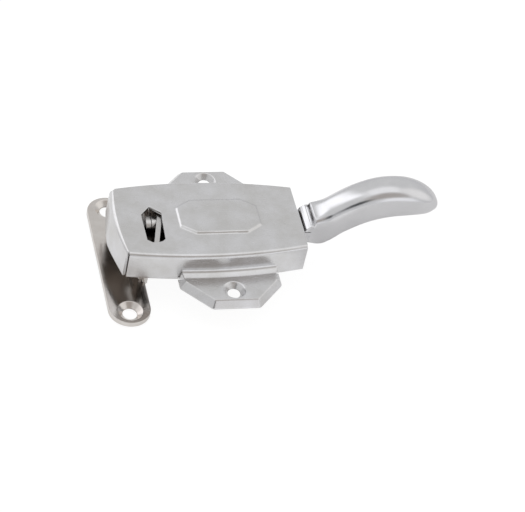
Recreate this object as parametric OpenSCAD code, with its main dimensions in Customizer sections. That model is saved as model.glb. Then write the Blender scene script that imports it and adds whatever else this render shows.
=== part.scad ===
// Surface-mounted cabinet latch: folded housing, pull handle, sliding bolt and separate strike.
// All sizes in millimetres. The origin lies midway between the two ear screw holes on the
// mounting plane. X runs from the nose to the handle, Y across the ears, Z away from the door.

/* [Housing] */
// Height of the housing above the mounting plane
body_h = 14.1; // [13.6:0.1:18]
// Half width of the housing at its widest place
body_half_w = 24.1; // [23.1:0.1:27]
// Radius of the bowed side walls seen from above
plan_r = 245; // [225:5:400]
// Distance from the origin to the closed nose
nose_x = 48.4; // [46.5:0.1:54]
// Distance from the origin to the open handle end
open_x = 35.6; // [34:0.1:40]
// Sheet thickness of the housing
sheet_t = 1.2; // [0.9:0.1:1.4]
// Height of the raised eight-sided pad
pad_h = 0.8; // [0.4:0.1:1.2]

/* [Ears] */
// Distance between the two ear screw holes
ear_pitch = 70; // [68:0.5:76]
// Width of each ear along the housing
ear_w = 47; // [42:0.5:54]
// Height of the flat of the ears above the mounting plane
ear_h = 3.8; // [3.4:0.1:5]
// Diameter of the ear screw holes
ear_hole_d = 5.7; // [4.5:0.1:6.5]
// Diameter of the dimple round the ear screw holes
ear_sink_d = 10.4; // [9.5:0.1:12]

/* [Handle] */
// Width of the handle neck between the cheeks
neck_w = 14.8; // [12:0.1:17]
// Widest half width of the grip
grip_half_w = 8.5; // [7.8:0.1:10]
// Distance from the handle pin to the tip of the grip
grip_reach = 67; // [58:0.5:80]
// Opening angle of the handle
turn_deg = 24; // [15:1:25]

/* [Bolt] */
// Width of the draw bar
bar_w = 11; // [9:0.5:12]
// Thickness of the draw bar
bar_t = 2; // [1.6:0.1:2.2]

/* [Strike] */
// Width of the strike plate
strike_w = 19.2; // [16:0.1:22]
// Distance between the strike screw holes
strike_pitch = 64.6; // [60:0.2:70]
// Thickness of the strike plate and its riser
strike_t = 2.5; // [2:0.1:2.5]
// Depth of the strike face below the mounting plane
strike_drop = 10.5; // [6:0.1:14]
// Diameter of the strike screw holes
strike_hole_d = 6.5; // [5:0.1:7]
// Diameter of the strike countersinks
strike_sink_d = 11.8; // [10:0.1:13]

/* [Hidden] */
$fn = 64;
// Clearances
run_gap = 0.3;
slip_gap = 0.4;
fit_gap = 0.02;
// Housing levels
cover_z = body_h - sheet_t;
wide_x = -10;
arc_y = plan_r - body_half_w;
bend_r = 1.6;
// Rim of the ears: a low upright foot, then a sloped skirt up to the flat
rim_foot = 0.4;
rim_bevel = (ear_h - rim_foot) * 0.68;
rim_wall = sheet_t * 1.21;
flap_y = body_half_w - 5.3;
flap_lap = 1.6;
// Handle pin
pin_r = 1.6;
pin_z = cover_z - 3.9;
pin_x = open_x - 2.6;
neck_y = neck_w / 2;
washer_t = 0.6;
cheek_t = 1.5;
cheek_y = neck_y + washer_t + 0.5;
boss_r = 3.1;
// Chassis
base_z = 0.2;
base_t = 1.2;
base_top = base_z + base_t;
base_y = 17;
tab_x = 16;
tab_w = 8;
// Draw bar
bar_z = base_top + run_gap;
bar_top = bar_z + bar_t;
bar_y = bar_w / 2;
tooth_r = 1.4;
tooth_y = bar_y - 1.7;
tooth_z = bar_z + bar_t / 2;
// Travel of the bolt over the full turn of the handle, and the tongue that it draws out
travel = (pin_z - tooth_z) * sin(turn_deg);
tongue_x = travel;
// Riser of the strike and bolt head
riser_x = -35.4;
nose_gap = 0.8;
nose_l = riser_x + nose_gap;
nose_t = 2.4;
flange_l = nose_l + nose_t + 0.2;
flange_t = 2.8;
flange_r = flange_l + flange_t;
head_top = cover_z - 2.7;
head_low = 5;
head_far = 11;
head_near = 7;
head_round = 4.2;
rivet_z = head_top - 2.9;
// Return arm
arm_x = -25.9;
arm_y = body_half_w - 9.9;
arm_lean = 14.1;
arm_len = 26.6;
arm_w = 2.2;
arm_z = head_top + slip_gap;
arm_t = 1.2;
finger_y = 1.6;
hook_at = 8;
spring_wire = 0.4;
spring_coil = 2.9;
// Straps over the draw bar
strap_w = 8;
strap_t = 1.2;
strap_in = bar_y + 0.7;
strap_out = strap_in + 5.8;
strap_front = -12;
strap_rear = 12;
rivet_y = strap_in + 3.6;
rivet_r = 1.2;
// Handle grip spine, a curve drawn by six points
s = grip_reach / 67;
shoulder_x = 6.4;
shoulder_h = 5.6;
spine = [
    [pin_x + shoulder_x, pin_z - 0.4],
    [pin_x + 18.5 * s, pin_z - 1.2],
    [pin_x + 26.4 * s, pin_z + 15.6],
    [pin_x + 37.7 * s, pin_z + 20.8],
    [pin_x + 60.6 * s, pin_z + 17.7],
    [pin_x + 66 * s, pin_z + 9.3]
];
grip_n = 30;
ring_n = 40;

// Disc with a rounded upper rim, the base form of one bowed side
module rim_disc(r, h, round_r) {
    rotate_extrude($fn = 360)
        union() {
            square([r - round_r, h]);
            square([r, h - round_r]);
            translate([r - round_r, h - round_r])
                circle(round_r, $fn = 48);
        }
}

// Space between the two bowed sides, shrunk by an inset
module bowed(inset, h, round_r) {
    intersection() {
        translate([wide_x, arc_y, -inset])
            rim_disc(plan_r - inset, h, round_r);
        translate([wide_x, -arc_y, -inset])
            rim_disc(plan_r - inset, h, round_r);
    }
}

// Outline of one ear, shrunk by an inset
module ear_plan(inset) {
    wo = ear_w / 2 - inset;
    wi = ear_w * 0.232 - inset * 0.41;
    yo = ear_pitch / 2 + 8.1 - inset;
    ys = ear_pitch / 2 - 5 - inset * 0.41;
    polygon([
        [-wo, body_half_w - 3.2],
        [-wo, ys],
        [-wi, yo],
        [wi, yo],
        [wo, ys],
        [wo, body_half_w - 3.2]
    ]);
}

// Dished ear block with a sloped skirt all round
module ear_block(inset, h) {
    hull() {
        linear_extrude(rim_foot)
            ear_plan(inset);
        linear_extrude(h)
            ear_plan(inset + rim_bevel * (h - rim_foot) / (ear_h - rim_foot));
    }
}

// One ear with its dimpled hole, on the +Y side
module ear() {
    sweep_deg = asin((ear_w / 2 - rim_bevel + 0.7) / plan_r);
    difference() {
        union() {
            difference() {
                ear_block(0, ear_h);
                translate([0, 0, -0.01])
                    ear_block(rim_wall, ear_h - sheet_t);
            }
            translate([0, ear_pitch / 2, 0])
                cylinder(h = ear_h - 0.1, r1 = ear_hole_d / 2 + 1.2, r2 = ear_sink_d / 2 + 1.2);
            translate([wide_x, -arc_y, ear_h - 0.1])
                rotate([0, 0, 90 + atan2(wide_x, plan_r) - sweep_deg])
                    rotate_extrude(angle = 2 * sweep_deg, $fn = 720)
                        difference() {
                            translate([plan_r - 0.6, 0])
                                square([3.2, 2.8]);
                            translate([plan_r + 2.68, 2.82])
                                circle(2.6, $fn = 48);
                        }
        }
        translate([0, ear_pitch / 2, ear_h - 2.4])
            cylinder(h = 2.42, r1 = ear_hole_d / 2, r2 = ear_sink_d / 2);
        translate([0, ear_pitch / 2, -1])
            cylinder(h = ear_h + 1, r = ear_hole_d / 2);
    }
}

// Eight-sided outline of the raised pad
module pad_plan(inset) {
    a = 19.1 - inset;
    b = 10.9 - inset;
    polygon([
        [-a, -b + 4.7], [-a + 7.1, -b], [a - 7.1, -b], [a, -b + 4.7],
        [a, b - 4.7], [a - 7.1, b], [-a + 7.1, b], [-a, b - 4.7]
    ]);
}

module pad_block() {
    hull() {
        linear_extrude(0.02)
            pad_plan(0);
        translate([0, 0, pad_h - 0.02])
            linear_extrude(0.02)
                pad_plan(pad_h * 1.1);
    }
}

// End flap folded down from the cover, upright at its sides and bulged at its foot
module end_flap() {
    n = 16;
    function top_x(y) = -nose_x + 0.8 * pow(y / flap_y, 2);
    function foot_x(y) = -nose_x - 3.2 + 4.6 * pow(y / flap_y, 2);
    function ring(y) = [
        [-nose_x + flap_lap + 0.7, y, body_h - 0.3],
        [-nose_x + flap_lap - 0.1, y, body_h - 0.02],
        [top_x(y) + 0.35, y, body_h - 0.4],
        [top_x(y), y, body_h - 1.4],
        [foot_x(y), y, 0],
        [foot_x(y) + sheet_t, y, 0],
        [top_x(y) + sheet_t, y, cover_z + 0.3],
        [-nose_x + flap_lap + 0.7, y, cover_z + 0.3]
    ];
    k = 8;
    pts = [for (j = [0:n]) each ring(-flap_y + 2 * flap_y * j / n)];
    sides = [for (j = [0:n - 1], i = [0:k - 1])
        each [
            [j * k + i, (j + 1) * k + (i + 1) % k, (j + 1) * k + i],
            [j * k + i, j * k + (i + 1) % k, (j + 1) * k + (i + 1) % k]
        ]];
    first = [for (i = [k - 1:-1:0]) i];
    last = [for (i = [0:k - 1]) n * k + i];
    polyhedron(pts, concat(sides, [first, last]), convexity = 4);
}

module housing() {
    color([0.74, 0.74, 0.75])
        difference() {
            union() {
                difference() {
                    union() {
                        intersection() {
                            bowed(0, body_h, bend_r);
                            translate([-nose_x + flap_lap, -100, 0])
                                cube([nose_x - flap_lap + open_x, 200, 100]);
                        }
                        ear();
                        mirror([0, 1, 0])
                            ear();
                    }
                    bowed(sheet_t, body_h, bend_r - sheet_t + 0.2);
                }
                end_flap();
                translate([-2, 0.9, body_h - 0.01])
                    pad_block();
            }
            translate([-2, 0.9, cover_z - 0.01])
                pad_block();
            translate([0, 0, cover_z - 1])
                linear_extrude(sheet_t + 2)
                    polygon([
                        [-37.4, 3.3], [-32.8, 8.3], [-27.9, 4.1], [-28.9, -12.2],
                        [-30.2, -13.5], [-32.3, -14.2], [-35, -14.1], [-37.2, -12.5]
                    ]);
            for (sx = [-1, 1], sy = [-1, 1])
                translate([sx * (ear_w / 2 + 0.6) - 0.5, sy * body_half_w - 4, -1])
                    cube([1, 8, ear_h + 1.4]);
        }
}

// Half width between the inner faces of the bowed walls at a place along X
function wall_in(x) = sqrt(pow(plan_r - sheet_t, 2) - pow(x - wide_x, 2)) - arc_y;

// Sheet chassis: base, two cheeks for the handle pin, four weld tabs, a stop for the spring leg
module chassis() {
    color([0.62, 0.63, 0.64])
        difference() {
            union() {
                translate([-33, -base_y, base_z])
                    cube([60, 2 * base_y, base_t]);
                for (sx = [-1, 1], sy = [-1, 1])
                    let (x = sx * tab_x - tab_w / 2, y = wall_in(sx * (tab_x + tab_w / 2)) - 0.05) {
                        translate([x, sy * y / 2 - y / 2, base_z])
                            cube([tab_w, y, base_t]);
                        translate([x, sy * (y - base_t / 2) - base_t / 2, base_z])
                            cube([tab_w, base_t, 7]);
                    }
                for (sy = [-1, 1])
                    translate([0, sy * (cheek_y + cheek_t / 2) - cheek_t / 2, 0])
                        cheek();
                translate([arm_x + 7.9, arm_y + spring_coil + spring_wire + 0.1, base_z])
                    cube([base_t, 1.6, 4.6]);
            }
            translate([arm_x, arm_y, base_z - 1])
                cylinder(h = base_t + 2, r = 1.5 + fit_gap);
            for (x = [strap_front, strap_rear], sy = [-1, 1])
                translate([x, sy * rivet_y, base_z - 1])
                    cylinder(h = base_t + 2, r = rivet_r + fit_gap);
            translate([pin_x, -50, pin_z])
                rotate([-90, 0, 0])
                    cylinder(h = 100, r = pin_r + fit_gap);
        }
}

module cheek() {
    translate([22, 0, base_z])
        cube([pin_x - 22, cheek_t, pin_z + boss_r - base_z]);
    translate([pin_x, 0, pin_z])
        rotate([-90, 0, 0])
            cylinder(h = cheek_t, r = boss_r);
    translate([pin_x - 1, 0, base_z])
        cube([1 + boss_r, cheek_t, pin_z - base_z]);
}

// Points of the grip spine and its half sizes along the spine parameter t
function bern(t) = [
    pow(1 - t, 5),
    5 * t * pow(1 - t, 4),
    10 * t * t * pow(1 - t, 3),
    10 * pow(t, 3) * pow(1 - t, 2),
    5 * pow(t, 4) * (1 - t),
    pow(t, 5)
];
function at(t) = bern(t) * spine;
function dir(t) = let (d = at(min(1, t + 0.005)) - at(max(0, t - 0.005))) d / norm(d);
function ease(u) = let (c = min(1, max(0, u))) c * c * (3 - 2 * c);
function cap(t) = sqrt(max(0.0004, 1 - pow(max(0, (t - 0.7) / 0.3), 2)));
function half_w(t) = (neck_y + (grip_half_w - neck_y) * ease(t / 0.7)) * cap(t);
function half_h(t) = (shoulder_h + 2.9 * ease(t / 0.1) + 0.65 * ease((t - 0.1) / 0.45)
    - 1.9 * ease((t - 0.55) / 0.35)) * cap(t);
function square_n(t) = 6 - 3.4 * ease(t / 0.25);
function sp(v, e) = v < 0 ? -pow(-v, e) : pow(v, e);
function grip_ring(t) = let (p = at(t), d = dir(t), e = 2 / square_n(t))
    [for (i = [0:ring_n - 1])
        let (a = 360 * i / ring_n, y = half_w(t) * sp(cos(a), e), h = half_h(t) * sp(sin(a), e))
        [p[0] - d[1] * h, y, p[1] + d[0] * h]];

// Grip: rounded-square rings along the spine, closing to a round tip
module grip() {
    function u(j) = j < 5 ? 0.08 * j / 5 : 1 - 0.92 * pow(1 - (j - 5) / (grip_n - 5), 1.6);
    pts = [for (j = [0:grip_n]) each grip_ring(u(j))];
    sides = [for (j = [0:grip_n - 1], i = [0:ring_n - 1])
        each [
            [j * ring_n + i, (j + 1) * ring_n + i, (j + 1) * ring_n + (i + 1) % ring_n],
            [j * ring_n + i, (j + 1) * ring_n + (i + 1) % ring_n, j * ring_n + (i + 1) % ring_n]
        ]];
    first = [for (i = [0:ring_n - 1]) i];
    last = [for (i = [ring_n - 1:-1:0]) grip_n * ring_n + i];
    polyhedron(pts, concat(sides, [first, last]), convexity = 6);
}

// Handle: grip, boss on the pin, neck that ramps up to the shoulder, tooth into the draw bar
module handle() {
    neck_low = bar_top + 0.6 - pin_z;
    color([0.82, 0.82, 0.84])
        difference() {
            union() {
                grip();
                translate([pin_x, -neck_y, pin_z])
                    rotate([-90, 0, 0])
                        cylinder(h = neck_w, r = boss_r);
                translate([pin_x, neck_y, pin_z])
                    rotate([90, 0, 0])
                        linear_extrude(neck_w)
                            polygon([
                                [0, neck_low], [shoulder_x + 2, neck_low], [shoulder_x + 2, 4.9],
                                [shoulder_x + 0.5, 4.85], [shoulder_x - 1.6, 3.62],
                                [shoulder_x - 2.1, 2.35], [shoulder_x - 2.4, 2.1], [0, 2.1]
                            ]);
                translate([pin_x - tooth_r, -tooth_y, tooth_z])
                    cube([2 * tooth_r, 2 * tooth_y, pin_z - tooth_z]);
                translate([pin_x, -tooth_y, tooth_z])
                    rotate([-90, 0, 0])
                        cylinder(h = 2 * tooth_y, r = tooth_r);
            }
            translate([pin_x, -50, pin_z])
                rotate([-90, 0, 0])
                    cylinder(h = 100, r = pin_r + 0.08);
        }
}

module handle_pin() {
    color([0.7, 0.7, 0.72])
        translate([pin_x, -cheek_y - cheek_t - 1.8, pin_z])
            rotate([-90, 0, 0])
                cylinder(h = 2 * (cheek_y + cheek_t + 1.8), r = pin_r);
}

// Open spring clip on a pin end, lying in the plane across the pin
module clip(r, t) {
    difference() {
        cylinder(h = t, r = r + 1.3);
        translate([0, 0, -1])
            cylinder(h = t + 2, r = r + fit_gap);
        translate([-r * 0.7, 0, -1])
            cube([r * 1.4, r + 3, t + 2]);
    }
}

module clip_near() {
    color([0.35, 0.36, 0.38])
        translate([pin_x, -cheek_y - cheek_t - 0.2, pin_z])
            rotate([90, 0, 0])
                clip(pin_r, 0.8);
}

module clip_far() {
    color([0.35, 0.36, 0.38])
        translate([pin_x, cheek_y + cheek_t + 1, pin_z])
            rotate([90, 0, 0])
                clip(pin_r, 0.8);
}

module washer() {
    rotate([90, 0, 0])
        difference() {
            cylinder(h = washer_t, r = boss_r);
            translate([0, 0, -1])
                cylinder(h = washer_t + 2, r = pin_r + fit_gap);
        }
}

module washer_near() {
    color([0.9, 0.9, 0.86])
        translate([pin_x, -cheek_y + washer_t + 0.1, pin_z])
            washer();
}

module washer_far() {
    color([0.9, 0.9, 0.86])
        translate([pin_x, cheek_y - 0.1, pin_z])
            washer();
}

// Upright outline of the bolt head, drawn with Y across and Z up
module head_plan() {
    translate([-head_near, bar_z])
        square([head_near + head_far, head_low - bar_z]);
    translate([0, bar_z])
        square([head_far, head_top - head_round - bar_z]);
    translate([head_round, bar_z])
        square([head_far - head_round, head_top - bar_z]);
    translate([head_round, head_top - head_round])
        circle(head_round);
}

// Plate across the X axis from an outline drawn in Y and Z
module upright(x, t) {
    translate([x, 0, 0])
        rotate([90, 0, 90])
            linear_extrude(t)
                children();
}

module nose_holes(r) {
    for (y = [3.6, 8.2])
        translate([nose_l - 5, y, rivet_z])
            rotate([0, 90, 0])
                cylinder(h = 20, r = r);
}

// Draw bar with the upright flange and the eye for the finger of the return arm
module bolt() {
    fx = arm_x - arm_len * sin(arm_lean);
    fy = arm_y - arm_len * cos(arm_lean);
    color([0.66, 0.66, 0.68])
        difference() {
            union() {
                translate([flange_r - 1, -bar_y, bar_z])
                    cube([pin_x + 3.3 - flange_r + 1, bar_w, bar_t]);
                upright(flange_l, flange_t)
                    head_plan();
                translate([fx - 2.6, fy - 2.8, bar_z])
                    cube([5.2, head_near + 0.5 - (fy + 2.8) - 9.4, 2.5]);
                translate([flange_l, fy - 2.8, bar_z])
                    cube([flange_t, -fy + 2.8 - head_near + 1, 2.5]);
            }
            translate([fx - arm_w / 2 - slip_gap, fy - finger_y / 2 - 0.9, bar_z - 1])
                cube([arm_w + 2 * slip_gap, finger_y + 1.4, 12]);
            translate([pin_x - tooth_r - slip_gap, -tooth_y - slip_gap, bar_z - 1])
                cube([2 * tooth_r + 2 * slip_gap, 2 * tooth_y + 2 * slip_gap, bar_t + 2]);
            nose_holes(1.1 + fit_gap);
        }
}

// Front plate of the bolt with its wedge-shaped tongue
module bolt_nose() {
    color([0.7, 0.7, 0.72])
        difference() {
            union() {
                upright(nose_l, nose_t)
                    head_plan();
                translate([nose_l, 5.5, 0])
                    rotate([90, 0, 0])
                        linear_extrude(11)
                            polygon([
                                [0.5, bar_z + 0.5], [-tongue_x, bar_z + 1.8],
                                [-tongue_x, bar_z + 2.4], [0.5, bar_z + 3.3]
                            ]);
            }
            nose_holes(1.1 + fit_gap);
        }
}

module nose_rivet(y) {
    color([0.8, 0.8, 0.8])
        translate([nose_l, y, rivet_z])
            rotate([0, 90, 0]) {
                cylinder(h = flange_r - nose_l, r = 1.1);
                translate([0, 0, flange_r - nose_l])
                    cylinder(h = 0.7, r1 = 1.9, r2 = 1.4);
            }
}

module nose_rivet_a() {
    nose_rivet(3.6);
}

module nose_rivet_b() {
    nose_rivet(8.2);
}

// Bridge over the draw bar with a foot on each side
module strap(x) {
    color([0.6, 0.61, 0.63])
        translate([x, 0, 0])
            difference() {
                union() {
                    translate([-strap_w / 2, -strap_in - strap_t, bar_top + run_gap])
                        cube([strap_w, 2 * (strap_in + strap_t), strap_t]);
                    for (sy = [-1, 1]) {
                        translate([-strap_w / 2, sy * (strap_in + strap_t / 2) - strap_t / 2, base_top])
                            cube([strap_w, strap_t, bar_top + run_gap + strap_t - base_top]);
                        translate([-strap_w / 2, sy * (strap_in + strap_out) / 2
                            - (strap_out - strap_in) / 2, base_top])
                            cube([strap_w, strap_out - strap_in, strap_t]);
                    }
                }
                for (sy = [-1, 1])
                    translate([0, sy * rivet_y, base_top - 1])
                        cylinder(h = strap_t + 2, r = rivet_r + fit_gap);
            }
}

module strap_front() {
    strap(strap_front);
}

module strap_rear() {
    strap(strap_rear);
}

module strap_rivet(x, y) {
    color([0.8, 0.8, 0.8])
        translate([x, y, base_z]) {
            cylinder(h = base_t + strap_t, r = rivet_r);
            translate([0, 0, base_t + strap_t])
                cylinder(h = 0.9, r1 = 2.1, r2 = 1.5);
        }
}

module strap_rivet_a() {
    strap_rivet(strap_front, -rivet_y);
}

module strap_rivet_b() {
    strap_rivet(strap_front, rivet_y);
}

module strap_rivet_c() {
    strap_rivet(strap_rear, -rivet_y);
}

module strap_rivet_d() {
    strap_rivet(strap_rear, rivet_y);
}

// Skewed bar under the window, with an eye on the post and a finger down into the bolt
module return_arm() {
    color([0.78, 0.78, 0.8])
        translate([arm_x, arm_y, 0])
            rotate([0, 0, -arm_lean])
                difference() {
                    union() {
                        translate([0, 0, arm_z])
                            cylinder(h = arm_t, r = 2.7);
                        translate([-arm_w / 2, -arm_len - finger_y / 2, arm_z])
                            cube([arm_w, arm_len + finger_y / 2, arm_t]);
                        translate([-arm_w / 2, -arm_len - finger_y / 2, bar_z + 0.4])
                            cube([arm_w, finger_y, arm_z - bar_z]);
                    }
                    translate([0, 0, arm_z - 1])
                        cylinder(h = arm_t + 2, r = 1.58);
                    translate([0, -hook_at, arm_z - 1])
                        cylinder(h = arm_t + 2, r = 0.62);
                }
}

module arm_post() {
    color([0.7, 0.7, 0.72])
        translate([arm_x, arm_y, 0]) {
            translate([0, 0, base_z])
                cylinder(h = arm_z + arm_t + 0.9 - base_z, r = 1.5);
            translate([0, 0, base_top])
                cylinder(h = arm_z - run_gap - base_top, r = 2);
        }
}

module arm_clip() {
    color([0.35, 0.36, 0.38])
        translate([arm_x, arm_y, arm_z + arm_t + 0.3])
            rotate([0, 0, 180])
                clip(1.5, 0.5);
}

// Torsion spring: round wire swept along a leg, a coil and a hooked leg
module arm_spring() {
    wire = spring_wire;
    coil = spring_coil;
    turns = 6;
    z0 = base_top + 0.8;
    z1 = arm_z - 1.4;
    seg = 20;
    count = turns * seg;
    side = 8;
    a0 = 90;
    a1 = a0 + 360 * turns + 90;
    helix = [for (i = [0:count + seg / 4])
        let (f = i / (count + seg / 4), a = a0 + (a1 - a0) * f)
        [coil * cos(a), coil * sin(a), z0 + (z1 - z0) * f]];
    foot = [[9.2, coil, z0], [6, coil, z0], [3, coil, z0]];
    hx = -hook_at * sin(arm_lean);
    hy = -hook_at * cos(arm_lean);
    hook = [
        [-coil, -1.5, z1 + 0.05],
        [-coil + (hx + coil) * 0.5, hy * 0.6, z1 + 0.15],
        [hx, hy + 0.6, z1 + 0.25],
        [hx, hy, z1 + 0.7],
        [hx, hy, arm_z + arm_t + 0.3]
    ];
    path = concat(foot, helix, hook);
    n = len(path);
    function tang(i) = let (d = path[min(n - 1, i + 1)] - path[max(0, i - 1)]) d / norm(d);
    function across(t) = let (r = abs(t[2]) > 0.8 ? [1, 0, 0] : [0, 0, 1], c = cross(t, r)) c / norm(c);
    pts = [for (i = [0:n - 1])
        let (t = tang(i), c = across(t), b = cross(c, t))
        each [for (j = [0:side - 1])
            path[i] + wire * (cos(360 * j / side) * c + sin(360 * j / side) * b)]];
    sides = [for (i = [0:n - 2], j = [0:side - 1])
        each [
            [i * side + j, (i + 1) * side + j, (i + 1) * side + (j + 1) % side],
            [i * side + j, (i + 1) * side + (j + 1) % side, i * side + (j + 1) % side]
        ]];
    first = [for (j = [0:side - 1]) j];
    last = [for (j = [side - 1:-1:0]) (n - 1) * side + j];
    color([0.5, 0.5, 0.52])
        translate([arm_x, arm_y, 0])
            polyhedron(pts, concat(sides, [first, last]), convexity = 10);
}

// Strike plate with its riser, one thick piece that bulges at the foot of the bend
module strike() {
    foot_x = 1.7;
    cx = riser_x - strike_w / 2;
    end_y = strike_pitch / 2 - 2.1;
    color([0.6, 0.58, 0.56])
        difference() {
            union() {
                translate([cx, 0, -strike_drop - strike_t])
                    linear_extrude(strike_t)
                        union() {
                            square([strike_w, 2 * end_y], center = true);
                            for (sy = [-1, 1])
                                translate([0, sy * end_y])
                                    circle(strike_w / 2);
                        }
                upright(riser_x - strike_t, strike_t)
                    union() {
                        translate([-13, -strike_drop - strike_t])
                            square([26, strike_drop + strike_t + 5]);
                        translate([-10, 0])
                            square([20, 8]);
                        for (sy = [-1, 1])
                            translate([sy * 10, 5])
                                circle(3);
                    }
                translate([riser_x, 0, -strike_drop - strike_t])
                    linear_extrude(strike_t + 3)
                        polygon([
                            [-1, -15], [0, -15], [foot_x, -13.2],
                            [foot_x, 13.2], [0, 15], [-1, 15]
                        ]);
            }
            for (sy = [-1, 1])
                translate([cx, sy * strike_pitch / 2, 0]) {
                    translate([0, 0, -strike_drop - 2])
                        cylinder(h = 2.02, r1 = strike_hole_d / 2 - 0.01, r2 = strike_sink_d / 2);
                    translate([0, 0, -strike_drop - strike_t - 1])
                        cylinder(h = strike_t + 2, r = strike_hole_d / 2);
                }
            translate([riser_x - strike_t - 1, -6, bar_z - 0.3])
                cube([strike_t + 2, 12, 3.7]);
        }
}

housing();
chassis();
handle();
handle_pin();
clip_near();
clip_far();
washer_near();
washer_far();
bolt();
bolt_nose();
nose_rivet_a();
nose_rivet_b();
strap_front();
strap_rear();
strap_rivet_a();
strap_rivet_b();
strap_rivet_c();
strap_rivet_d();
return_arm();
arm_post();
arm_clip();
arm_spring();
strike();
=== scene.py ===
# %% [markdown]
# # A cabinet latch in polished steel
# The latch is a folded sheet housing with two screw ears, a cast pull handle, a sliding bolt
# and a separate strike plate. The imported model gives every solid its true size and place, so
# this lesson loads it as a fixed frame and only adds finer surfaces, finishes, light and camera.

# %% Load the frame
import math

import bpy
import numpy as np
from mathutils import Matrix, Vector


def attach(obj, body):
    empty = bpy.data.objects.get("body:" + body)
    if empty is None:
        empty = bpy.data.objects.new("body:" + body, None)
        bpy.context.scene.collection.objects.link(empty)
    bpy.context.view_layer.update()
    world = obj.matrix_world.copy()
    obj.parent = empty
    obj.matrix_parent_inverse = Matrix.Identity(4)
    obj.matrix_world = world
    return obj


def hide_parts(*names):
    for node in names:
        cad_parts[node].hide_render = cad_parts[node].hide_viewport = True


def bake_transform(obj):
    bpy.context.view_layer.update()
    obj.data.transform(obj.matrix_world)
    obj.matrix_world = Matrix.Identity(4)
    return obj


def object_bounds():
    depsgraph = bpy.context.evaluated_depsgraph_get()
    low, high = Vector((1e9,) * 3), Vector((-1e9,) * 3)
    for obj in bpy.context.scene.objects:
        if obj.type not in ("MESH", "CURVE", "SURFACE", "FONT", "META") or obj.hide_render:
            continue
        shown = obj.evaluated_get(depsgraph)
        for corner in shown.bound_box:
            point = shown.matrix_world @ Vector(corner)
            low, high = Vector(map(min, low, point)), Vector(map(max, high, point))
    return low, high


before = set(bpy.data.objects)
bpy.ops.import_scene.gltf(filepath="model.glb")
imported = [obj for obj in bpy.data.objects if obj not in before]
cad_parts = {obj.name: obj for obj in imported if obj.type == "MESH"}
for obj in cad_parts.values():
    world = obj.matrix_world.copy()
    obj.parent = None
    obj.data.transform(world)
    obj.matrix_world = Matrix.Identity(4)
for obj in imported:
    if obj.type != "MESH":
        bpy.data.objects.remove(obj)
cad_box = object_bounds()
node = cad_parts
scene = bpy.context.scene
print("nodes:", len(node), "box:", [tuple(round(v, 4) for v in c) for c in cad_box])

# %% [markdown]
# ## Camera
# The photograph was taken from the front left, looking down by 44 degrees, with a long lens and
# a slight roll. A tracking constraint could aim the camera, but it can't roll it. So three
# directions are worked out instead: back (from the object to the camera), right and up in the
# picture. They become the columns of the camera's matrix.

# %% Camera
WIDTH_PX, SENSOR_MM = 525, 36.0
FOCAL_PX, DISTANCE = 2319.3, 1.0536
TARGET = np.array([0.01853, -0.01105, 0.0])
azimuth, elevation, roll = np.radians([-21.68, 43.96, 13.76])


def placed(x, y, z, spot):
    """A matrix whose columns are three axes and a place."""
    matrix = np.eye(4)
    matrix[:3] = np.stack([x, y, z, spot], -1)
    return Matrix(matrix.tolist())


back = np.array([math.sin(azimuth) * math.cos(elevation),
                 -math.cos(azimuth) * math.cos(elevation), math.sin(elevation)])
level = np.array([math.cos(azimuth), math.sin(azimuth), 0.0])
above = np.cross(back, level)
right = math.cos(roll) * level + math.sin(roll) * above
up = math.cos(roll) * above - math.sin(roll) * level
lens = bpy.data.cameras.new("camera")
lens.sensor_width = SENSOR_MM
lens.lens = FOCAL_PX / WIDTH_PX * SENSOR_MM
camera = bpy.data.objects.new("camera", lens)
camera.matrix_world = placed(right, up, back, TARGET + back * DISTANCE)
scene.collection.objects.link(camera)
scene.camera = camera
print("lens mm:", round(lens.lens, 1))

# %% [markdown]
# ## Room
# Bare metal shows its surroundings, so the room matters more than the lamps. It could be built
# from large lit planes, but a world shader does the same with a few nodes that read only the
# direction of a ray. It is a pale grey room with a bright ceiling, an upright strip of bright
# cloth at the left and a light desk low in front. Camera rays see plain white instead.


# %% Node helpers
def new_tree(owner):
    """Switches nodes on for a material or world and empties its tree."""
    owner.use_nodes = True
    owner.node_tree.nodes.clear()
    return owner.node_tree


def add(tree, kind, **values):
    """Adds one shader node. A value named in_X sets socket X, any other name sets a property."""
    made = tree.nodes.new("ShaderNode" + kind)
    for key, value in values.items():
        if key.startswith("in_"):
            name = key[3:].replace("_", " ")
            made.inputs[int(name) if name.isdigit() else name].default_value = value
        else:
            setattr(made, key, value)
    return made


def join(tree, source, output, sink, socket):
    """Links an output of one node to a socket of another."""
    tree.links.new(source.outputs[output], sink.inputs[socket])


scene.view_settings.view_transform = "Standard"
world = bpy.data.worlds.new("studio")
scene.world = world
sky = new_tree(world)
where = add(sky, "TexCoord")
apart = add(sky, "SeparateXYZ")
join(sky, where, "Generated", apart, 0)
print("world nodes to start with:", len(sky.nodes))

# %% Room
WALL_LOW, WALL_HIGH, WALL_Z = (0.64, 0.64, 0.65, 1), (0.70, 0.70, 0.70, 1), (0.0, 0.6)
CEILING, CEILING_Z = (0.86, 0.86, 0.865, 1), (0.75, 0.97)


def ramp(tree, source, output, start, stop, first=0.0, last=1.0):
    """A smooth step: first where the value is start, last where it is stop."""
    made = add(tree, "MapRange", interpolation_type="SMOOTHSTEP",
               in_From_Min=start, in_From_Max=stop, in_To_Min=first, in_To_Max=last)
    join(tree, source, output, made, "Value")
    return made


def lay_over(tree, below, amount, output, colour, blend="MIX"):
    """Lays a colour over that of the Mix node below, by an amount from 0 to 1."""
    made = add(tree, "Mix", data_type="RGBA", blend_type=blend, in_7=colour)
    join(tree, amount, output, made, 0)
    join(tree, below, 2, made, 6)
    return made


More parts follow.
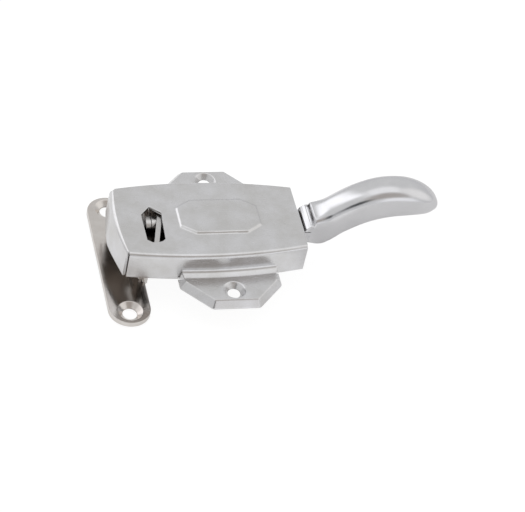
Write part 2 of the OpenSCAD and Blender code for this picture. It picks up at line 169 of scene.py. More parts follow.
height = ramp(sky, apart, "Z", *WALL_Z)
room = add(sky, "Mix", data_type="RGBA", in_6=WALL_LOW, in_7=WALL_HIGH)
join(sky, height, "Result", room, 0)
overhead = ramp(sky, apart, "Z", *CEILING_Z)
ceiling = lay_over(sky, room, overhead, "Result", CEILING)
print("room nodes:", len(sky.nodes))

# %% Cloth and desk
CLOTH, CLOTH_WAY, CLOTH_SHIFT = (0.70, 0.70, 0.72, 1), (0.993, 0.076, 0.09), 0.50
CLOTH_EDGE, CLOTH_Y = (0.24, 0.06), (-0.15, 0.25)
DESK = (0.38, 0.385, 0.40, 1)
DESK_X, DESK_Y, DESK_Z = (-0.05, 0.2), (-0.6, -0.85), (0.55, 0.35)


def product(tree, a, a_output, b, b_output):
    """The product of two values."""
    made = add(tree, "Math", operation="MULTIPLY")
    join(tree, a, a_output, made, 0)
    join(tree, b, b_output, made, 1)
    return made


aside = add(sky, "VectorMath", operation="DOT_PRODUCT", in_1=CLOTH_WAY)
join(sky, where, "Generated", aside, 0)
shifted = add(sky, "Math", operation="ADD", in_1=CLOTH_SHIFT)
join(sky, aside, "Value", shifted, 0)
off = add(sky, "Math", operation="ABSOLUTE")
join(sky, shifted, 0, off, 0)
narrow = ramp(sky, off, 0, *CLOTH_EDGE)
behind = ramp(sky, apart, "Y", *CLOTH_Y)
strip = product(sky, narrow, "Result", behind, "Result")
cloth = lay_over(sky, ceiling, strip, 0, CLOTH, "ADD")
near_side = ramp(sky, apart, "Y", *DESK_Y)
low = ramp(sky, apart, "Z", *DESK_Z)
right_half = ramp(sky, apart, "X", *DESK_X)
front = product(sky, near_side, "Result", low, "Result")
front_right = product(sky, front, 0, right_half, "Result")
desk = lay_over(sky, cloth, front_right, 0, DESK, "ADD")
print("nodes with cloth and desk:", len(sky.nodes))

# %% [markdown]
# Three round patches go over the room: a bright one for a lamp at the right, a wide brown one
# where the photographer stands, and a small dark one for the camera itself. The angle between
# a ray and the middle of a patch is enough to draw it, so no object is needed.


# %% Patches
def patch(below, direction, outer, inner, colour):
    """Lays a soft round patch of a colour over the sky: none of it at the outer angle from the
    direction, all of it at the inner one. The angles are in degrees."""
    toward = add(sky, "VectorMath", operation="DOT_PRODUCT", in_1=direction)
    join(sky, where, "Generated", toward, 0)
    start, stop = math.cos(math.radians(outer)), math.cos(math.radians(inner))
    shade = ramp(sky, toward, "Value", start, stop)
    return lay_over(sky, below, shade, "Result", colour)


lamp_patch = patch(desk, (0.8, -0.1, 0.6), 40, 12, (0.95, 0.94, 0.93, 1))
brown_patch = patch(lamp_patch, (0.1, -0.67, 0.735), 34, 8, (0.46, 0.43, 0.405, 1))
camera_patch = patch(brown_patch, (-0.34, -0.83, 0.43), 16, 8, (0.03, 0.035, 0.04, 1))
path = add(sky, "LightPath")
plain = add(sky, "Background", in_Color=(1, 1, 1, 1), in_Strength=1.0)
lit = add(sky, "Background", in_Strength=1.0)
join(sky, camera_patch, 2, lit, "Color")
pick = add(sky, "MixShader")
join(sky, path, "Is Camera Ray", pick, 0)
join(sky, lit, 0, pick, 1)
join(sky, plain, 0, pick, 2)
sky_out = add(sky, "OutputWorld")
join(sky, pick, 0, sky_out, 0)
print("world nodes:", len(sky.nodes))

# %% [markdown]
# ## Floor and lamp
# The floor is white paper. It lies a little lower than the latch, because the strike eases down
# by 1.3 mm when the handle is pulled. A plain matt floor comes out grey, so camera rays see it
# glow, and a faint shadow is left. Mirrored rays see it bright under the housing and not under
# the handle, whose underside is dark in the photograph. One large soft lamp hangs above.

# %% Floor
FLOOR_GAP, FLOOR_HALF = 1.4, 4000.0


def put_mesh(name, points_mm, faces):
    """Makes a mesh object from points in millimetres and a list of index arrays, in metres."""
    mesh = bpy.data.meshes.new(name)
    quads = [tuple(f) for block in faces for f in block.tolist()]
    mesh.from_pydata((np.asarray(points_mm) * 0.001).tolist(), [], quads)
    mesh.polygons.foreach_set("use_smooth", np.ones(len(mesh.polygons), bool))
    mesh.update()
    made = bpy.data.objects.new(name, mesh)
    scene.collection.objects.link(made)
    return made


floor_z = cad_box[0].z * 1000 - FLOOR_GAP
corner = np.array([[-1, -1], [1, -1], [1, 1], [-1, 1]]) * FLOOR_HALF
floor = put_mesh("floor", np.c_[corner, np.full(4, floor_z)], [np.arange(4)[None]])
print("floor at mm:", round(floor_z, 2))

# %% Floor paper
CAMERA_GLOW, MIRROR_GLOW, MIRROR_X = 0.82, 0.42, (0.042, 0.054)
paper = bpy.data.materials.new("white_paper")
tree = new_tree(paper)
rays = add(tree, "LightPath")
mirrored = add(tree, "Math", operation="MAXIMUM")
join(tree, rays, "Is Glossy Ray", mirrored, 0)
join(tree, rays, "Is Transmission Ray", mirrored, 1)
spot_on_floor = add(tree, "TexCoord")
floor_at = add(tree, "SeparateXYZ")
join(tree, spot_on_floor, "Object", floor_at, 0)
lit_side = ramp(tree, floor_at, "X", *MIRROR_X, MIRROR_GLOW, 0.0)
some = product(tree, mirrored, 0, lit_side, "Result")
share = add(tree, "Math", operation="MULTIPLY_ADD", in_1=CAMERA_GLOW)
join(tree, rays, "Is Camera Ray", share, 0)
join(tree, some, 0, share, 2)
matt = add(tree, "BsdfDiffuse", in_Color=(0.92, 0.92, 0.92, 1))
glow = add(tree, "Emission", in_Color=(1, 1, 1, 1), in_Strength=1.12)
mixed = add(tree, "MixShader")
join(tree, share, 0, mixed, 0)
join(tree, matt, 0, mixed, 1)
join(tree, glow, 0, mixed, 2)
sheet_out = add(tree, "OutputMaterial")
join(tree, mixed, 0, sheet_out, 0)
floor.data.materials.append(paper)
print("paper nodes:", len(tree.nodes))


# %% Lamp
def softbox(name, spot, size, watts):
    """A square lamp of a given size, turned to face the latch."""
    lamp = bpy.data.lights.new(name, "AREA")
    lamp.size, lamp.energy = size, watts
    made = bpy.data.objects.new(name, lamp)
    z = np.array(spot, float) / np.linalg.norm(spot)
    x = np.cross([0.0, 1.0, 0.1], z)
    x /= np.linalg.norm(x)
    made.matrix_world = placed(x, np.cross(z, x), z, spot)
    made.visible_camera = False
    scene.collection.objects.link(made)


softbox("softbox_top", (0.1, 0.1, 1.2), 0.9, 0.35)
print("lamps:", len(bpy.data.lights))

# %% [markdown]
# ## Metal finishes
# All the visible pieces are bare or plated steel. What tells them apart is how far the light
# spreads in them: the sheet is satin, the handle is buffed, the strike is nearly a mirror. Each
# finish gets fine scratches stretched along its polishing direction, a cloudy change of tone
# and a shallow bump. Image textures could do that too, but noise needs no unwrapping. All of it
# reads Object coordinates, which keep still as parts move. The bolt's lower part gets a painted
# shade.

# %% Metal
# The bolt's lower part is painted near black as painted shade, fading out between two heights in
# metres.
CLOUD_SCALE, PAINTED_SHADE, PAINTED_SHADE_Z = 90.0, (0.030, 0.026, 0.022, 1), (0.0074, 0.0088)


def two_tones(tree, noise, dark, light, start=0.0, stop=1.0):
    """A ramp from a dark to a light tone, between two values of a noise."""
    tone = add(tree, "ValToRGB")
    for end, place, colour in zip(tone.color_ramp.elements, (start, stop), (dark, light)):
        end.position, end.color = place, (*colour, 1)
    join(tree, noise, 0, tone, 0)
    return tone


def metal(name, light, dark, rough, grain, bump, shade_below=None):
    """Metal with two tones in soft clouds, and scratches that change roughness and bump.
    light, dark: the two tones; rough: lowest and highest roughness; grain: the scale of the
    scratches along X, Y and Z, so a small number gives long scratches that way; the last argument,
    if given: two heights in metres, with a dark painted shade below the first and none above the
    second."""
    mat = bpy.data.materials.new(name)
    t = new_tree(mat)
    at = add(t, "TexCoord")
    clouds = add(t, "TexNoise", in_Scale=CLOUD_SCALE, in_Detail=4.0, in_Roughness=0.6)
    join(t, at, "Object", clouds, "Vector")
    tone = two_tones(t, clouds, dark, light, 0.32, 0.68)
    colour, colour_output = tone, 0
    # Painted shade: below the first height the colour turns dark, above the second it is left as
    # it is.
    if shade_below:
        part_at = add(t, "SeparateXYZ")
        join(t, at, "Object", part_at, 0)
        unshaded = ramp(t, part_at, "Z", *shade_below)
        colour, colour_output = add(t, "Mix", data_type="RGBA", in_6=PAINTED_SHADE), 2
        join(t, unshaded, "Result", colour, 0)
        join(t, tone, 0, colour, 7)
    turned = add(t, "Mapping", in_Scale=grain)
    join(t, at, "Object", turned, "Vector")
    lines = add(t, "TexNoise", in_Scale=1.0, in_Detail=6.0, in_Roughness=0.65)
    join(t, turned, 0, lines, "Vector")
    spread = add(t, "MapRange", in_From_Min=0.3, in_From_Max=0.7,
                 in_To_Min=rough[0], in_To_Max=rough[1])
    join(t, lines, 0, spread, "Value")
    relief = add(t, "Bump", in_Strength=bump, in_Distance=0.0002)
    join(t, lines, 0, relief, "Height")
    face = add(t, "BsdfPrincipled", in_Metallic=1.0)
    join(t, colour, colour_output, face, "Base Color")
    join(t, spread, 0, face, "Roughness")
    join(t, relief, 0, face, "Normal")
    out = add(t, "OutputMaterial")
    join(t, face, 0, out, 0)
    return mat


satin_sheet = metal("satin_sheet_steel", (0.765, 0.765, 0.78), (0.66, 0.654, 0.647),
                    (0.235, 0.28), (220, 1400, 1400), 0.007)
# The inside of the sheet is dull, and its darker brown tone is painted shade for the shaded inside
# of the housing.
dull_inside_painted_shade = metal("dull_inside_painted_shade", (0.44, 0.39, 0.35), (0.34, 0.30, 0.265),
                    (0.42, 0.52), (500, 500, 500), 0.05)
print("nodes in the satin sheet:", len(satin_sheet.node_tree.nodes))

# %% Other metals
buffed = metal("buffed_handle", (0.76, 0.76, 0.775), (0.70, 0.70, 0.715),
               (0.17, 0.20), (300, 1600, 1600), 0.008)
plated = metal("plated_strike", (0.74, 0.71, 0.68), (0.64, 0.60, 0.57),
               (0.12, 0.20), (1500, 50, 1500), 0.05)
zinc = metal("zinc_plate", (0.66, 0.66, 0.67), (0.54, 0.54, 0.55),
             (0.30, 0.42), (300, 300, 300), 0.10)
GROUND = ((0.70, 0.69, 0.68), (0.58, 0.57, 0.56), (0.22, 0.34), (1500, 90, 1500), 0.10)
ground = metal("ground_steel", *GROUND)
# Ground steel with painted shade on its lower part, for the bolt.
steel_with_painted_shade = metal("steel_with_painted_shade", *GROUND, shade_below=PAINTED_SHADE_Z)
spring_wire = metal("spring_wire", (0.50, 0.49, 0.48), (0.36, 0.35, 0.34),
                    (0.25, 0.36), (900, 900, 900), 0.08)
black_oxide = metal("black_oxide", (0.10, 0.10, 0.11), (0.05, 0.05, 0.055),
                    (0.35, 0.48), (900, 900, 900), 0.12)
print("metals:", [m.name for m in bpy.data.materials if m is not paper])


# %% Plastic
def plastic(name, light, dark, rough):
    """Moulded plastic: two close tones in fine clouds, a soft gloss and a grainy bump."""
    mat = bpy.data.materials.new(name)
    t = new_tree(mat)
    at = add(t, "TexCoord")
    grains = add(t, "TexNoise", in_Scale=2200.0, in_Detail=3.0)
    join(t, at, "Object", grains, "Vector")
    tone = two_tones(t, grains, dark, light)
    relief = add(t, "Bump", in_Strength=0.12, in_Distance=0.0001)
    join(t, grains, 0, relief, "Height")
    face = add(t, "BsdfPrincipled", in_Roughness=rough)
    join(t, tone, 0, face, "Base Color")
    join(t, relief, 0, face, "Normal")
    out = add(t, "OutputMaterial")
    join(t, face, 0, out, 0)
    return mat


nylon = plastic("nylon_washer", (0.80, 0.79, 0.74), (0.70, 0.69, 0.64), 0.45)
print("materials:", len(bpy.data.materials))

# %% [markdown]
# ## Housing
# The housing is one sheet, 1.2 mm thick. Bevelling the solid would give even round edges but not
# the drawn shape of a pressed sheet, so its outer face is built as a grid. Its cover and two
# bowed walls are a section carried along X: up the near wall, round a tight bend, across the
# cover, and down the far wall. The eight-sided pad is a raised height on the same grid. Two
# parameters, place along X and place along the section, give every point at once.

# %% Housing values, in millimetres
BODY_H, HALF_W, PLAN_R, WIDE_X = 14.1, 24.1, 245.0, -10.0
NOSE_X, OPEN_X, SHEET, BEND = 48.4, 35.6, 1.2, 1.9
LAP_X = -NOSE_X + 1.8
PAD_X, PAD_Y, PAD_HALF_X, PAD_HALF_Y = -2.0, 0.9, 19.1, 10.9
PAD_CUT_X, PAD_CUT_Y, PAD_RISE, PAD_BEVEL = 7.1, 4.7, 0.8, 0.9


def half_width(x):
    """Half width of the bowed body: a circle of radius PLAN_R that is widest at WIDE_X."""
    return HALF_W - (PLAN_R - np.sqrt(PLAN_R**2 - (x - WIDE_X)**2))


def smooth(u):
    """Smooth step from 0 to 1: 3u^2 - 2u^3."""
    c = np.clip(u, 0, 1)
    return c * c * (3 - 2 * c)


def pad_height(x, y):
    """Height of the eight-sided pad: distance inside its eight edges, eased over a bevel."""
    dx, dy = PAD_HALF_X - np.abs(x - PAD_X), PAD_HALF_Y - np.abs(y - PAD_Y)
    slant = np.hypot(PAD_CUT_X, PAD_CUT_Y)
    corner_in = (dx * PAD_CUT_Y + dy * PAD_CUT_X - PAD_CUT_X * PAD_CUT_Y) / slant
    inside = np.minimum(np.minimum(dx, dy), corner_in)
    return PAD_RISE * smooth(inside / PAD_BEVEL)


print("half width at nose and open end:", half_width(np.array([-NOSE_X, OPEN_X])).round(2))

# %% Cover and walls
WINDOW_ZONE_X = -23.0
bend_at = np.linspace(0, np.pi / 2, 8)
wall_z = np.linspace(0, BODY_H - BEND, 13)[:-1]
side_in = np.r_[np.zeros(len(wall_z)), BEND * (1 - np.cos(bend_at))]
side_z = np.r_[wall_z, BODY_H - BEND + BEND * np.sin(bend_at)]
cover_t = np.linspace(-1, 1, 100)
along = np.linspace(LAP_X, OPEN_X, 170)
w = half_width(along)
near_y = -(w[None] - side_in[:, None])
cover_y = cover_t[1:-1, None] * (w - BEND)[None]
section_y = np.r_[near_y, cover_y, -near_y[::-1]]
section_x = np.broadcast_to(along, section_y.shape)
level_z = np.r_[side_z, np.full(len(cover_y), BODY_H), side_z[::-1]]
section_z = np.broadcast_to(level_z[:, None], section_y.shape)
section_z = section_z + pad_height(section_x, section_y) * (section_z > BODY_H - 0.001)
body_points = np.stack([section_x, section_y, section_z], -1)
print("cover and walls:", body_points.shape)


# %% Faces of the cover and walls
def grid_faces(rows, cols, wrap=False, flip=False):
    """Quads of a grid of points stored row by row; wrap joins the last column to the first."""
    last = cols if wrap else cols - 1
    i, j = np.meshgrid(np.arange(rows - 1), np.arange(last), indexing="ij")
    k = (j + 1) % cols
    quads = np.stack([i * cols + j, i * cols + k, (i + 1) * cols + k, (i + 1) * cols + j], -1)
    return quads[..., ::-1] if flip else quads


side_n, rows, cols = len(side_z), *section_y.shape
split = int(np.searchsorted(along, WINDOW_ZONE_X))
body_faces = grid_faces(rows, cols)
window_zone = np.zeros(body_faces.shape[:2], bool)
window_zone[side_n - 1:rows - side_n, :split] = True
print("faces:", body_faces.shape, "left to the window:", window_zone.sum())

# %% [markdown]
# ## Window
# The cover has a window with eight corners over the bolt. Cutting it with a Boolean leaves long
# thin faces, so the zone round it is its own patch: rings that run from the window's edge out to
# the border of the zone, with the edge rolled down a little as a punch leaves it.

# %% Window patch
ROLL_DOWN, ROLL_WIDE, RING_GRADE = 0.10, 0.4, 2.4
window_edge = np.array([(-37.4, 3.3), (-37.2, -12.5), (-35.0, -14.1), (-32.3, -14.2),
                        (-30.2, -13.5), (-28.9, -12.2), (-27.9, 4.1), (-32.8, 8.3)])
window_mid = np.array([-32.4, -3.0])


def ray_to_edge(corners, mid, way):
    """Where rays from mid along way meet a convex outline: the nearest of its edge lines."""
    a, b = corners, np.roll(corners, -1, 0)
    out = np.stack([(b - a)[:, 1], -(b - a)[:, 0]], -1)
    out *= np.sign(((a - mid) * out).sum(1))[:, None]
    far = ((a - mid) * out).sum(1)[None] / np.maximum(way @ out.T, 1e-9)
    return mid + way * far.min(1)[:, None]


top_rows = np.arange(side_n - 1, rows - side_n + 1)
border = np.r_[body_points[top_rows[0], :split], body_points[top_rows[:-1], split],
               body_points[top_rows[-1], split:0:-1], body_points[top_rows[:0:-1], 0]]
way = border[:, :2] - window_mid
way /= np.linalg.norm(way, axis=1)[:, None]
inner = ray_to_edge(window_edge, window_mid, way)
grade = np.linspace(0, 1, 16)[:, None, None] ** RING_GRADE
ring_xy = inner[None] + (border[None, :, :2] - inner[None]) * grade
ring_gap = np.linalg.norm(ring_xy - inner[None], axis=2)
ring_z = BODY_H - ROLL_DOWN * np.exp(-(ring_gap / ROLL_WIDE) ** 2) * (grade[..., 0] < 1)
window_points = np.concatenate([ring_xy, ring_z[..., None]], 2)
print("window patch:", window_points.shape)

# %% [markdown]
# ## Nose flap
# The nose is a flap folded down from the cover. It leans outwards and its foot bulges in the
# middle. A bent plane would keep a straight fold, so the flap is a surface of its own. Its upper
# row uses the same points as the cover, and the two weld into one sheet.

# %% Flap patch
LAP_V, FOLD_V = 0.2, 0.5
FOLD_SET, FOLD_BULGE, FOLD_SKEW, FOLD_SLOPE = 0.12, 1.4, 0.25, 0.47
REACH_SIDE, REACH_MORE, KNEE_DROP, SIDE_GROW = 1.3, 0.7, 3.6, 0.9
KEEL_ROUND, KEEL_TIP = 0.06, 0.245
FOOT_OUT, FOOT_BACK_NEAR, FOOT_BACK_FAR = 3.4, 3.8, 2.8


def flap(t, v):
    """The flap: across by t from -1 to 1, and down by v. Until LAP_V it is the last of the
    cover, out to the fold line; until FOLD_V a quadratic curve round the fold; then a straight
    leaf to the foot. Fold line and foot bulge in the middle, the foot nearly as a V with a
    round tip."""
    fold_x = LAP_X - FOLD_SET - FOLD_BULGE * (1 - t**2) - FOLD_SKEW * (1 + t)
    keel = (np.sqrt(t**2 + KEEL_ROUND) - KEEL_TIP) / (math.sqrt(1 + KEEL_ROUND) - KEEL_TIP)
    foot_x = -NOSE_X - FOOT_OUT + np.where(t < 0, FOOT_BACK_NEAR, FOOT_BACK_FAR) * keel
    reach = REACH_SIDE + REACH_MORE * (1 - t**2)
    crown_x = fold_x - reach
    knee_z = BODY_H - KNEE_DROP
    knee_x = crown_x + (foot_x - crown_x) * KNEE_DROP / BODY_H
    lap = np.clip(v / LAP_V, 0, 1)
    u = np.clip((v - LAP_V) / (FOLD_V - LAP_V), 0, 1)
    d = np.clip((v - FOLD_V) / (1 - FOLD_V), 0, 1)
    x = (LAP_X + (fold_x - LAP_X) * lap + (1 - (1 - u)**2) * (crown_x - fold_x)
         + u**2 * (knee_x - crown_x) + (foot_x - knee_x) * d)
    z = BODY_H - 2 * u * (1 - u) * FOLD_SLOPE * reach - u**2 * KNEE_DROP - knee_z * d
    wide = half_width(LAP_X) - BEND + SIDE_GROW * smooth(u)
    return np.stack([x, t * wide, z], -1)


flap_v = np.r_[np.linspace(0, LAP_V, 4), np.linspace(LAP_V, FOLD_V, 15)[1:],
               np.linspace(FOLD_V, 1, 16)[1:]]
flap_points = flap(*np.meshgrid(cover_t, flap_v))
print("flap patch:", flap_points.shape)

# %% [markdown]
# ## Ears
# Each ear is a shallow dish: a dimpled screw hole, a flat, and a bevelled rim turned down to the
# door. Along the body a low slope leads from the flat to the wall. The ear could be cut from a
# plate, but the dimple and the rim are pressed, so the rings start at the hole and run out to
# the outline, and one grid carries dimple, flat and rim.

# %% Ear outline
EAR_H, HOLE_Y, FOOT = 3.8, 35.0, 0.4
EAR_X, FLAT_X, ROOT_OUT, RIM_OUT = 23.5, 21.2, 3.6, 0.7
EAR_RUNS, BEND_N = (10, 18, 22, 18, 10), 5


def polyline(corners, radius):
    """Samples a line of corners. Each inner corner is rounded by a quadratic curve that starts and
    ends a set distance away from it. EAR_RUNS says how many points each straight run gets."""
    runs = []
    cut = np.r_[0, np.full(len(corners) - 2, radius), 0]
    for a, b, ra, rb in zip(corners[:-1], corners[1:], cut[:-1], cut[1:]):
        step = (b - a) / np.linalg.norm(b - a)
        runs.append((a + step * ra, b - step * rb))
    parts = []
    for k, (a, b) in enumerate(runs):
        parts.append(a + (b - a) * np.linspace(0, 1, EAR_RUNS[k])[:, None])
        if k + 1 < len(runs):
            u = np.linspace(0, 1, BEND_N + 2)[1:-1, None]
            parts.append((1 - u)**2 * b + 2 * u * (1 - u) * corners[k + 1] + u**2 * runs[k + 1][0])
    return np.concatenate(parts)


root_right, root_left = float(half_width(FLAT_X)), float(half_width(-FLAT_X))
outline = polyline(np.array([(-EAR_X, root_left + RIM_OUT), (-EAR_X, 30.0), (-10.9, 43.1),
                             (10.9, 43.1), (EAR_X, 30.0), (EAR_X, root_right + RIM_OUT)]), 0.9)
flat_line = polyline(np.array([(-FLAT_X, root_left + ROOT_OUT), (-FLAT_X, 29.06),
                               (-9.96, 40.8), (9.96, 40.8), (FLAT_X, 29.06),
                               (FLAT_X, root_right + ROOT_OUT)]), 0.6)
wall_x = np.linspace(FLAT_X, -FLAT_X, 64)
foot_x = wall_x * 1.05
wall_flat = np.stack([wall_x, half_width(wall_x) + ROOT_OUT], -1)
wall_foot = np.stack([foot_x, half_width(foot_x)], -1)
print("ear outline points:", len(outline), "+", len(wall_x))

# %% Rim and root profiles
RIM_LEAD, RIM_SOFT, FOOT_SOFT, FOOT_TUCK = 0.08, 0.2, 0.1, 0.2
ROOT_SOFT, ROOT_HOLLOW, ROOT_TURN = 0.12, 0.25, 0.8


def rounded_rim():
    """Profile of the turned-down rim: flat, sloped skirt and a low upright foot, with both
    corners eased. First column: share of the way from flat line to outline; second: height."""
    u = np.linspace(0, 1, 6)
    v = 1 - u
    fall = EAR_H - FOOT
    soft = np.stack([v**2 * -RIM_LEAD + u**2 * RIM_SOFT, EAR_H - fall * RIM_SOFT * u**2], -1)
    low_z = FOOT + v**2 * FOOT_SOFT * fall - u**2 * FOOT_TUCK
    return np.r_[soft, np.stack([1 - v**2 * FOOT_SOFT, low_z], -1), [[1.0, 0.0]]]


def root_slope(s):
    """Height of the slope at the wall: a soft start, a rise of about 1 mm and a small turn up."""
    start = ROOT_SOFT * (1 - np.exp(-s / ROOT_SOFT))
    return EAR_H + s - start + ROOT_HOLLOW * s**2 + ROOT_TURN * s**9


rim = rounded_rim()
sweep = 0.5 - 0.5 * np.cos(np.linspace(0, np.pi, 17))
print("rim points:", len(rim), "slope ends at mm:", root_slope(sweep[-1]).round(2))

# %% Ear patch
DIMPLE_R = np.r_[2.85, 2.95, np.linspace(3.1, 4.6, 6), 4.8, 5.0, 5.15]
DIMPLE_Z = np.r_[1.25, 1.42, np.linspace(1.6, 3.4, 6), 3.6, 3.74, EAR_H]


def ear_sector(flat, edge, edge_share, edge_z):
    """One sector of an ear. Rings: the dimple's cone and lip as circles, the flat as a straight
    blend from the lip to the flat line, then the edge profile between flat line and outline."""
    mid = np.array([0.0, HOLE_Y])
    aim = flat - mid
    aim = aim / np.linalg.norm(aim, axis=1)[:, None]
    circles = mid + aim[None] * DIMPLE_R[:, None, None]
    lip = circles[-1]
    blend = np.linspace(0, 1, 14)[1:-1, None, None]
    start = flat + (edge - flat) * edge_share[0]
    middle = lip + (start - lip) * blend
    skirt = flat + (edge - flat) * edge_share[:, None, None]
    plan = np.concatenate([circles, middle, skirt])
    z = np.r_[DIMPLE_Z, np.full(len(blend), EAR_H), edge_z]
    return np.concatenate([plan, np.broadcast_to(z[:, None, None], (*plan.shape[:2], 1))], 2)


far_rim = ear_sector(flat_line, outline, rim[:, 0], rim[:, 1])
far_root = ear_sector(wall_flat, wall_foot, sweep, root_slope(sweep))
print("ear rings:", far_rim.shape, far_root.shape)

# %% [markdown]
# The patches now go into one mesh. Points that coincide are merged, so cover, window zone and
# flap are one sheet. Solidify gives the sheet its thickness inwards, a narrow Bevel softens the
# cut edges, and Weighted Normal keeps the flats flat.

# %% Housing points
MERGE_PER_MM, CUT_EDGE_M = 5e3, 0.00018
flipped = np.array([1.0, -1.0, 1.0])
rim_size, root_size = far_rim.shape[:2], far_root.shape[:2]
patches = [(body_points, body_faces[~window_zone]),
           (window_points, grid_faces(*window_points.shape[:2], wrap=True)),
           (flap_points, grid_faces(*flap_points.shape[:2])),
           (far_rim, grid_faces(*rim_size)), (far_root, grid_faces(*root_size)),
           (far_rim * flipped, grid_faces(*rim_size, flip=True)),
           (far_root * flipped, grid_faces(*root_size, flip=True))]


def upward(points, faces):
    """Turns a patch over where its upward-facing area points down."""
    p = points.reshape(-1, 3)
    f = faces.reshape(-1, 4)
    up_z = np.cross(p[f[:, 2]] - p[f[:, 0]], p[f[:, 3]] - p[f[:, 1]])[:, 2].sum()
    return p, f if up_z > 0 else f[:, ::-1]


sheet_points, sheet_faces, count = [], [], 0
for points, faces in patches:
    p, f = upward(points, faces)
    sheet_points.append(p)
    sheet_faces.append(f + count)
    count += len(p)
sheet_points, sheet_faces = np.concatenate(sheet_points), np.concatenate(sheet_faces)
_, first, back_to = np.unique(np.round(sheet_points * MERGE_PER_MM).astype(int), axis=0,
                              return_index=True, return_inverse=True)
merged = back_to.reshape(-1)[sheet_faces]
used, compact = np.unique(merged, return_inverse=True)
print("housing points:", len(used), "of", count)

# %% Housing sheet
housing_sheet = put_mesh("housing_sheet", sheet_points[first][used], [compact.reshape(-1, 4)])
wall_mod = housing_sheet.modifiers.new("sheet", "SOLIDIFY")
# The inner face takes the second material, whose dark brown tone is painted shade.
wall_mod.thickness, wall_mod.offset, wall_mod.material_offset = SHEET * 0.001, -1, 1
edge_mod = housing_sheet.modifiers.new("cut_edges", "BEVEL")
edge_mod.width, edge_mod.segments = CUT_EDGE_M, 2
edge_mod.limit_method, edge_mod.angle_limit = "ANGLE", math.radians(50)
housing_sheet.modifiers.new("flats", "WEIGHTED_NORMAL")
housing_sheet.data.materials.append(satin_sheet)
housing_sheet.data.materials.append(dull_inside_painted_shade)
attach(housing_sheet, "latch")
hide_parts("housing")
print("housing faces:", len(housing_sheet.data.polygons))

# %% [markdown]
# ## Pull handle
# The handle is a casting. A flat neck turns on the pin, and the grip rises from a shoulder in an
# S-shaped sweep to a round tip. A curve object with a bevel keeps one section all the way, so
# the grip is made of rings that follow a curve with six control points: near the neck the rings
# are almost square, and towards the tip they become rounder.

# %% Grip
GRIP_CTRL = np.array([(39.4, 8.6), (51.5, 7.8), (59.4, 24.6),
                      (70.7, 29.8), (93.6, 26.7), (98.95, 18.3)])
NECK_Y, GRIP_WIDER, SQUARE, ROUNDER, CAP_T = 7.4, 1.1, 6, 3.4, 0.7
SHOULDER_H, SHOULDER_RISE, GRIP_HIGHER, TIP_LOWER = 5.58, 2.9, 0.65, 1.9


def on_curve(points, t):
    """A Bezier curve of any degree: the sum of choose(n, k) * t^k * (1 - t)^(n - k) * point k."""
    n = len(points) - 1
    k = np.arange(n + 1)
    choose = np.array([math.comb(n, i) for i in k])
    return (choose * t[:, None]**k * (1 - t[:, None])**(n - k)) @ points


def grip_rings(t, angle):
    """Rings along the grip's curve. Half width, half height and squareness change with t.
    A point lies at width*|cos|^(2/n) across and height*|sin|^(2/n) up, n being the squareness.
    The height grows at the shoulder, a little more along the grip, and shrinks near the tip."""
    spot = on_curve(GRIP_CTRL, t)
    head = on_curve(np.diff(GRIP_CTRL, axis=0), t)
    head /= np.linalg.norm(head, axis=1)[:, None]
    cap = np.sqrt(np.maximum(0.0004, 1 - np.maximum(0, (t - CAP_T) / (1 - CAP_T))**2))
    half_w = (NECK_Y + GRIP_WIDER * smooth(t / 0.7)) * cap
    half_h = (SHOULDER_H + SHOULDER_RISE * smooth(t / 0.1)
              + GRIP_HIGHER * smooth((t - 0.1) / 0.45)
              - TIP_LOWER * smooth((t - 0.55) / 0.35)) * cap
    power = (2 / (SQUARE - ROUNDER * smooth(t / 0.25)))[:, None]
    c, s = np.cos(angle)[None], np.sin(angle)[None]
    wide = half_w[:, None] * np.sign(c) * np.abs(c)**power
    high = half_h[:, None] * np.sign(s) * np.abs(s)**power
    return np.stack([spot[:, :1] - head[:, 1:] * high, wide, spot[:, 1:] + head[:, :1] * high], -1)


grip_t = np.r_[np.linspace(0, 0.1, 24)[:-1], 1 - 0.9 * np.linspace(1, 0, 150)**1.9]
grip_a = np.linspace(0, 2 * np.pi, 112, endpoint=False) + 0.001
body_rings = grip_rings(grip_t, grip_a)
middle = np.array([GRIP_CTRL[0, 0], 0.0, GRIP_CTRL[0, 1]])
turn_in = np.linspace(0, np.pi / 2, 6)[:-1]
shrink = 1 - 0.03 * (1 - np.sin(turn_in))
shoulder = middle + (body_rings[0] - middle) * shrink[:, None, None]
shoulder[..., 0] -= 0.02
print("grip rings:", body_rings.shape, "shoulder:", shoulder.shape)

# %% Neck and tooth outlines
PIN_X, PIN_Z, NECK_R, TOOTH_Z, TOOTH_R = 33, 9, 3.1, 2.7, 1.4


def crisp(line):
    """Adds a point close to each end of every edge, so smooth shading stays near the corners."""
    ahead = np.roll(line, -1, 0) - line
    return np.stack([line, line + 0.08 * ahead, line + 0.92 * ahead], 1).reshape(-1, 2)


def round_end(mid, radius, start, stop, count):
    """Points of an arc in the XZ plane, from one angle to another in degrees."""
    a = np.radians(np.linspace(start, stop, count))
    return np.stack([mid[0] + radius * np.cos(a), mid[1] + radius * np.sin(a)], -1)


neck_side = np.r_[round_end((PIN_X, PIN_Z), NECK_R, 40, 270, 40),
                  [(33.0, 4.3), (36.0, 4.3), (41.0, 4.3), (41.0, 8.0), (41.0, 11.1), (37.0, 11.1)]]
band_side = crisp(np.array([(36.9, 10.2), (39.0, 10.2), (41.4, 10.2), (41.4, 14.25),
                            (39.75, 14.08), (38.8, 13.25), (37.95, 12.7), (37.78, 12.55),
                            (37.31, 11.4)]))
tooth_side = np.r_[round_end((PIN_X, TOOTH_Z), TOOTH_R, 180, 360, 16),
                   [(34.4, 6.0), (34.4, 8.5), (33.0, 8.5), (31.6, 8.5), (31.6, 6.0)]]
print("outline points:", len(neck_side), len(band_side), len(tooth_side))

# %% Handle casting
EDGE_EASE, TOOTH_Y = 0.35, 3.8


